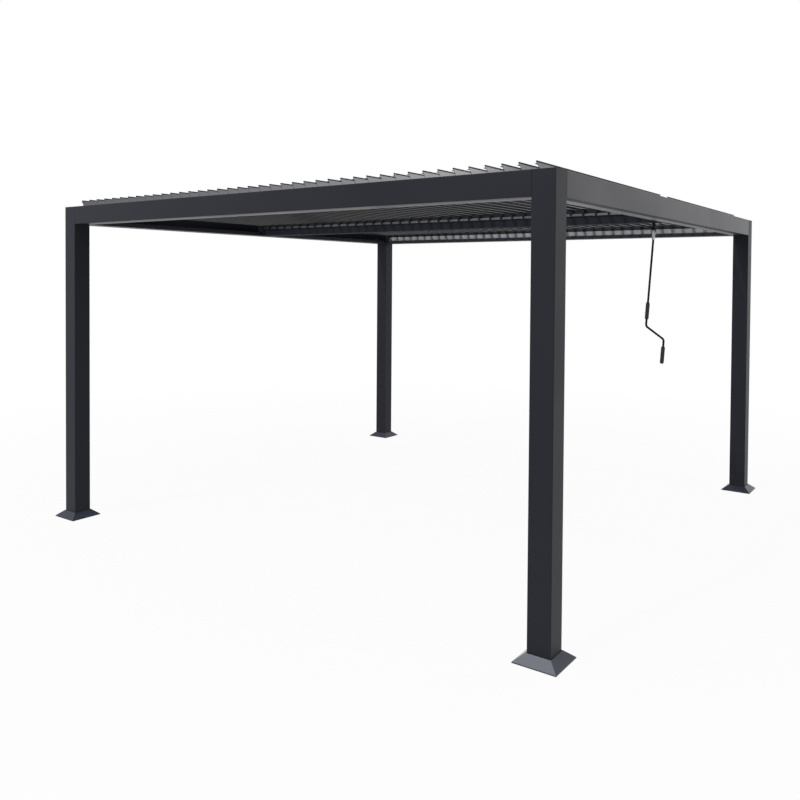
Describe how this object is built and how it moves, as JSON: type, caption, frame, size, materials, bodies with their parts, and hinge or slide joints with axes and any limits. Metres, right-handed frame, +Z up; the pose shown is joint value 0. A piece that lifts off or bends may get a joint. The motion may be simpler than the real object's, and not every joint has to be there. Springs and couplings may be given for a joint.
{
  "type": "louvred roof pergola",
  "caption": "Free-standing metal pergola on four posts with tilting roof blades, gutter beams, a middle beam, foot covers and a hanging hand crank.",
  "frame": {"origin": "on the ground under the middle of the roof", "axes": "+Z up, X along the front beam towards the post nearest the camera, Y along the blades towards the back"},
  "size_m": [4.105, 4.105, 2.3915],
  "materials": {
    "frame_coat": "satin",
    "blade_coat": "satin",
    "cover_coat": "satin",
    "black_coat": "satin",
    "bare_metal": "satin",
    "bright_steel": "polished",
    "grip_plastic": "matte"
  },
  "bodies": {
    "frame": {"front_left_post": "frame_coat", "front_right_post": "frame_coat", "back_left_post": "frame_coat", "back_right_post": "frame_coat", "base_plates": "bare_metal", "foot_covers": "cover_coat", "post_caps": "frame_coat", "front_beam": "frame_coat", "back_beam": "frame_coat", "left_beam": "frame_coat", "right_beam": "frame_coat", "middle_beam": "frame_coat", "gutters": "frame_coat", "gearbox": "black_coat"},
    "louvre_01": {"louvre_01": "blade_coat"},
    "louvre_02": {"louvre_02": "blade_coat"},
    "louvre_03": {"louvre_03": "blade_coat"},
    "louvre_04": {"louvre_04": "blade_coat"},
    "louvre_05": {"louvre_05": "blade_coat"},
    "louvre_06": {"louvre_06": "blade_coat"},
    "louvre_07": {"louvre_07": "blade_coat"},
    "louvre_08": {"louvre_08": "blade_coat"},
    "louvre_09": {"louvre_09": "blade_coat"},
    "louvre_10": {"louvre_10": "blade_coat"},
    "louvre_11": {"louvre_11": "blade_coat"},
    "louvre_12": {"louvre_12": "blade_coat"},
    "louvre_13": {"louvre_13": "blade_coat"},
    "louvre_14": {"louvre_14": "blade_coat"},
    "louvre_15": {"louvre_15": "blade_coat"},
    "louvre_16": {"louvre_16": "blade_coat"},
    "louvre_17": {"louvre_17": "blade_coat"},
    "louvre_18": {"louvre_18": "blade_coat"},
    "louvre_19": {"louvre_19": "blade_coat"},
    "louvre_20": {"louvre_20": "blade_coat"},
    "louvre_21": {"louvre_21": "blade_coat"},
    "louvre_22": {"louvre_22": "blade_coat"},
    "louvre_23": {"louvre_23": "blade_coat"},
    "louvre_24": {"louvre_24": "blade_coat"},
    "louvre_25": {"louvre_25": "blade_coat"},
    "louvre_26": {"louvre_26": "blade_coat"},
    "louvre_27": {"louvre_27": "blade_coat"},
    "louvre_28": {"louvre_28": "blade_coat"},
    "louvre_29": {"louvre_29": "blade_coat"},
    "louvre_30": {"louvre_30": "blade_coat"},
    "louvre_31": {"louvre_31": "blade_coat"},
    "louvre_32": {"louvre_32": "blade_coat"},
    "louvre_33": {"louvre_33": "blade_coat"},
    "louvre_34": {"louvre_34": "blade_coat"},
    "louvre_35": {"louvre_35": "blade_coat"},
    "louvre_36": {"louvre_36": "blade_coat"},
    "louvre_37": {"louvre_37": "blade_coat"},
    "louvre_38": {"louvre_38": "blade_coat"},
    "louvre_39": {"louvre_39": "blade_coat"},
    "louvre_40": {"louvre_40": "blade_coat"},
    "louvre_41": {"louvre_41": "blade_coat"},
    "link_bars": {"link_bars": "bare_metal"},
    "drive_eye": {"drive_eye": "black_coat"},
    "crank": {"crank_hook": "bright_steel", "crank_rod": "black_coat", "crank_grips": "grip_plastic"}
  },
  "joints": [
    {"name": "louvre_01_tilt", "type": "hinge", "parent": "frame", "child": "louvre_01", "pos_m": [-1.85766, 0, 2.313], "axis": [0, 1, 0], "range_deg": [-62, 28]},
    {"name": "louvre_02_tilt", "type": "hinge", "parent": "frame", "child": "louvre_02", "pos_m": [-1.76382, 0, 2.313], "axis": [0, 1, 0], "range_deg": [-62, 28]},
    {"name": "louvre_03_tilt", "type": "hinge", "parent": "frame", "child": "louvre_03", "pos_m": [-1.66998, 0, 2.313], "axis": [0, 1, 0], "range_deg": [-62, 28]},
    {"name": "louvre_04_tilt", "type": "hinge", "parent": "frame", "child": "louvre_04", "pos_m": [-1.57613, 0, 2.313], "axis": [0, 1, 0], "range_deg": [-62, 28]},
    {"name": "louvre_05_tilt", "type": "hinge", "parent": "frame", "child": "louvre_05", "pos_m": [-1.48229, 0, 2.313], "axis": [0, 1, 0], "range_deg": [-62, 28]},
    {"name": "louvre_06_tilt", "type": "hinge", "parent": "frame", "child": "louvre_06", "pos_m": [-1.38845, 0, 2.313], "axis": [0, 1, 0], "range_deg": [-62, 28]},
    {"name": "louvre_07_tilt", "type": "hinge", "parent": "frame", "child": "louvre_07", "pos_m": [-1.29461, 0, 2.313], "axis": [0, 1, 0], "range_deg": [-62, 28]},
    {"name": "louvre_08_tilt", "type": "hinge", "parent": "frame", "child": "louvre_08", "pos_m": [-1.20077, 0, 2.313], "axis": [0, 1, 0], "range_deg": [-62, 28]},
    {"name": "louvre_09_tilt", "type": "hinge", "parent": "frame", "child": "louvre_09", "pos_m": [-1.10693, 0, 2.313], "axis": [0, 1, 0], "range_deg": [-62, 28]},
    {"name": "louvre_10_tilt", "type": "hinge", "parent": "frame", "child": "louvre_10", "pos_m": [-1.01309, 0, 2.313], "axis": [0, 1, 0], "range_deg": [-62, 28]},
    {"name": "louvre_11_tilt", "type": "hinge", "parent": "frame", "child": "louvre_11", "pos_m": [-0.91924, 0, 2.313], "axis": [0, 1, 0], "range_deg": [-62, 28]},
    {"name": "louvre_12_tilt", "type": "hinge", "parent": "frame", "child": "louvre_12", "pos_m": [-0.8254, 0, 2.313], "axis": [0, 1, 0], "range_deg": [-62, 28]},
    {"name": "louvre_13_tilt", "type": "hinge", "parent": "frame", "child": "louvre_13", "pos_m": [-0.73156, 0, 2.313], "axis": [0, 1, 0], "range_deg": [-62, 28]},
    {"name": "louvre_14_tilt", "type": "hinge", "parent": "frame", "child": "louvre_14", "pos_m": [-0.63772, 0, 2.313], "axis": [0, 1, 0], "range_deg": [-62, 28]},
    {"name": "louvre_15_tilt", "type": "hinge", "parent": "frame", "child": "louvre_15", "pos_m": [-0.54388, 0, 2.313], "axis": [0, 1, 0], "range_deg": [-62, 28]},
    {"name": "louvre_16_tilt", "type": "hinge", "parent": "frame", "child": "louvre_16", "pos_m": [-0.45004, 0, 2.313], "axis": [0, 1, 0], "range_deg": [-62, 28]},
    {"name": "louvre_17_tilt", "type": "hinge", "parent": "frame", "child": "louvre_17", "pos_m": [-0.35619, 0, 2.313], "axis": [0, 1, 0], "range_deg": [-62, 28]},
    {"name": "louvre_18_tilt", "type": "hinge", "parent": "frame", "child": "louvre_18", "pos_m": [-0.26235, 0, 2.313], "axis": [0, 1, 0], "range_deg": [-62, 28]},
    {"name": "louvre_19_tilt", "type": "hinge", "parent": "frame", "child": "louvre_19", "pos_m": [-0.16851, 0, 2.313], "axis": [0, 1, 0], "range_deg": [-62, 28]},
    {"name": "louvre_20_tilt", "type": "hinge", "parent": "frame", "child": "louvre_20", "pos_m": [-0.07467, 0, 2.313], "axis": [0, 1, 0], "range_deg": [-62, 28]},
    {"name": "louvre_21_tilt", "type": "hinge", "parent": "frame", "child": "louvre_21", "pos_m": [0.01917, 0, 2.313], "axis": [0, 1, 0], "range_deg": [-62, 28]},
    {"name": "louvre_22_tilt", "type": "hinge", "parent": "frame", "child": "louvre_22", "pos_m": [0.11301, 0, 2.313], "axis": [0, 1, 0], "range_deg": [-62, 28]},
    {"name": "louvre_23_tilt", "type": "hinge", "parent": "frame", "child": "louvre_23", "pos_m": [0.20685, 0, 2.313], "axis": [0, 1, 0], "range_deg": [-62, 28]},
    {"name": "louvre_24_tilt", "type": "hinge", "parent": "frame", "child": "louvre_24", "pos_m": [0.30069, 0, 2.313], "axis": [0, 1, 0], "range_deg": [-62, 28]},
    {"name": "louvre_25_tilt", "type": "hinge", "parent": "frame", "child": "louvre_25", "pos_m": [0.39454, 0, 2.313], "axis": [0, 1, 0], "range_deg": [-62, 28]},
    {"name": "louvre_26_tilt", "type": "hinge", "parent": "frame", "child": "louvre_26", "pos_m": [0.48838, 0, 2.313], "axis": [0, 1, 0], "range_deg": [-62, 28]},
    {"name": "louvre_27_tilt", "type": "hinge", "parent": "frame", "child": "louvre_27", "pos_m": [0.58222, 0, 2.313], "axis": [0, 1, 0], "range_deg": [-62, 28]},
    {"name": "louvre_28_tilt", "type": "hinge", "parent": "frame", "child": "louvre_28", "pos_m": [0.67606, 0, 2.313], "axis": [0, 1, 0], "range_deg": [-62, 28]},
    {"name": "louvre_29_tilt", "type": "hinge", "parent": "frame", "child": "louvre_29", "pos_m": [0.7699, 0, 2.313], "axis": [0, 1, 0], "range_deg": [-62, 28]},
    {"name": "louvre_30_tilt", "type": "hinge", "parent": "frame", "child": "louvre_30", "pos_m": [0.86374, 0, 2.313], "axis": [0, 1, 0], "range_deg": [-62, 28]},
    {"name": "louvre_31_tilt", "type": "hinge", "parent": "frame", "child": "louvre_31", "pos_m": [0.95759, 0, 2.313], "axis": [0, 1, 0], "range_deg": [-62, 28]},
    {"name": "louvre_32_tilt", "type": "hinge", "parent": "frame", "child": "louvre_32", "pos_m": [1.05143, 0, 2.313], "axis": [0, 1, 0], "range_deg": [-62, 28]},
    {"name": "louvre_33_tilt", "type": "hinge", "parent": "frame", "child": "louvre_33", "pos_m": [1.14527, 0, 2.313], "axis": [0, 1, 0], "range_deg": [-62, 28]},
    {"name": "louvre_34_tilt", "type": "hinge", "parent": "frame", "child": "louvre_34", "pos_m": [1.23911, 0, 2.313], "axis": [0, 1, 0], "range_deg": [-62, 28]},
    {"name": "louvre_35_tilt", "type": "hinge", "parent": "frame", "child": "louvre_35", "pos_m": [1.33295, 0, 2.313], "axis": [0, 1, 0], "range_deg": [-62, 28]},
    {"name": "louvre_36_tilt", "type": "hinge", "parent": "frame", "child": "louvre_36", "pos_m": [1.42679, 0, 2.313], "axis": [0, 1, 0], "range_deg": [-62, 28]},
    {"name": "louvre_37_tilt", "type": "hinge", "parent": "frame", "child": "louvre_37", "pos_m": [1.52063, 0, 2.313], "axis": [0, 1, 0], "range_deg": [-62, 28]},
    {"name": "louvre_38_tilt", "type": "hinge", "parent": "frame", "child": "louvre_38", "pos_m": [1.61448, 0, 2.313], "axis": [0, 1, 0], "range_deg": [-62, 28]},
    {"name": "louvre_39_tilt", "type": "hinge", "parent": "frame", "child": "louvre_39", "pos_m": [1.70832, 0, 2.313], "axis": [0, 1, 0], "range_deg": [-62, 28]},
    {"name": "louvre_40_tilt", "type": "hinge", "parent": "frame", "child": "louvre_40", "pos_m": [1.80216, 0, 2.313], "axis": [0, 1, 0], "range_deg": [-62, 28]},
    {"name": "louvre_41_tilt", "type": "hinge", "parent": "frame", "child": "louvre_41", "pos_m": [1.896, 0, 2.313], "axis": [0, 1, 0], "range_deg": [-62, 28]},
    {"name": "link_bars_swing", "type": "hinge", "parent": "louvre_21", "child": "link_bars", "pos_m": [0.00864, 0, 2.27857], "axis": [0, 1, 0], "range_deg": [-28, 62]},
    {"name": "drive_eye_spin", "type": "hinge", "parent": "frame", "child": "drive_eye", "pos_m": [1.80216, 0, 2.152], "axis": [0, 0, 1], "range_deg": [-1240, 560]},
    {"name": "crank_swing", "type": "hinge", "parent": "drive_eye", "child": "crank", "pos_m": [1.80216, 0, 2.152], "axis": [0, 1, 0], "range_deg": [-60, 60]}
  ],
  "couplings": [
    {"joint": "louvre_01_tilt", "follows": "louvre_40_tilt", "ratio": 1},
    {"joint": "louvre_02_tilt", "follows": "louvre_40_tilt", "ratio": 1},
    {"joint": "louvre_03_tilt", "follows": "louvre_40_tilt", "ratio": 1},
    {"joint": "louvre_04_tilt", "follows": "louvre_40_tilt", "ratio": 1},
    {"joint": "louvre_05_tilt", "follows": "louvre_40_tilt", "ratio": 1},
    {"joint": "louvre_06_tilt", "follows": "louvre_40_tilt", "ratio": 1},
    {"joint": "louvre_07_tilt", "follows": "louvre_40_tilt", "ratio": 1},
    {"joint": "louvre_08_tilt", "follows": "louvre_40_tilt", "ratio": 1},
    {"joint": "louvre_09_tilt", "follows": "louvre_40_tilt", "ratio": 1},
    {"joint": "louvre_10_tilt", "follows": "louvre_40_tilt", "ratio": 1},
    {"joint": "louvre_11_tilt", "follows": "louvre_40_tilt", "ratio": 1},
    {"joint": "louvre_12_tilt", "follows": "louvre_40_tilt", "ratio": 1},
    {"joint": "louvre_13_tilt", "follows": "louvre_40_tilt", "ratio": 1},
    {"joint": "louvre_14_tilt", "follows": "louvre_40_tilt", "ratio": 1},
    {"joint": "louvre_15_tilt", "follows": "louvre_40_tilt", "ratio": 1},
    {"joint": "louvre_16_tilt", "follows": "louvre_40_tilt", "ratio": 1},
    {"joint": "louvre_17_tilt", "follows": "louvre_40_tilt", "ratio": 1},
    {"joint": "louvre_18_tilt", "follows": "louvre_40_tilt", "ratio": 1},
    {"joint": "louvre_19_tilt", "follows": "louvre_40_tilt", "ratio": 1},
    {"joint": "louvre_20_tilt", "follows": "louvre_40_tilt", "ratio": 1},
    {"joint": "louvre_21_tilt", "follows": "louvre_40_tilt", "ratio": 1},
    {"joint": "louvre_22_tilt", "follows": "louvre_40_tilt", "ratio": 1},
    {"joint": "louvre_23_tilt", "follows": "louvre_40_tilt", "ratio": 1},
    {"joint": "louvre_24_tilt", "follows": "louvre_40_tilt", "ratio": 1},
    {"joint": "louvre_25_tilt", "follows": "louvre_40_tilt", "ratio": 1},
    {"joint": "louvre_26_tilt", "follows": "louvre_40_tilt", "ratio": 1},
    {"joint": "louvre_27_tilt", "follows": "louvre_40_tilt", "ratio": 1},
    {"joint": "louvre_28_tilt", "follows": "louvre_40_tilt", "ratio": 1},
    {"joint": "louvre_29_tilt", "follows": "louvre_40_tilt", "ratio": 1},
    {"joint": "louvre_30_tilt", "follows": "louvre_40_tilt", "ratio": 1},
    {"joint": "louvre_31_tilt", "follows": "louvre_40_tilt", "ratio": 1},
    {"joint": "louvre_32_tilt", "follows": "louvre_40_tilt", "ratio": 1},
    {"joint": "louvre_33_tilt", "follows": "louvre_40_tilt", "ratio": 1},
    {"joint": "louvre_34_tilt", "follows": "louvre_40_tilt", "ratio": 1},
    {"joint": "louvre_35_tilt", "follows": "louvre_40_tilt", "ratio": 1},
    {"joint": "louvre_36_tilt", "follows": "louvre_40_tilt", "ratio": 1},
    {"joint": "louvre_37_tilt", "follows": "louvre_40_tilt", "ratio": 1},
    {"joint": "louvre_38_tilt", "follows": "louvre_40_tilt", "ratio": 1},
    {"joint": "louvre_39_tilt", "follows": "louvre_40_tilt", "ratio": 1},
    {"joint": "louvre_41_tilt", "follows": "louvre_40_tilt", "ratio": 1},
    {"joint": "link_bars_swing", "follows": "louvre_40_tilt", "ratio": -1},
    {"joint": "drive_eye_spin", "follows": "louvre_40_tilt", "ratio": 20}
  ]
}
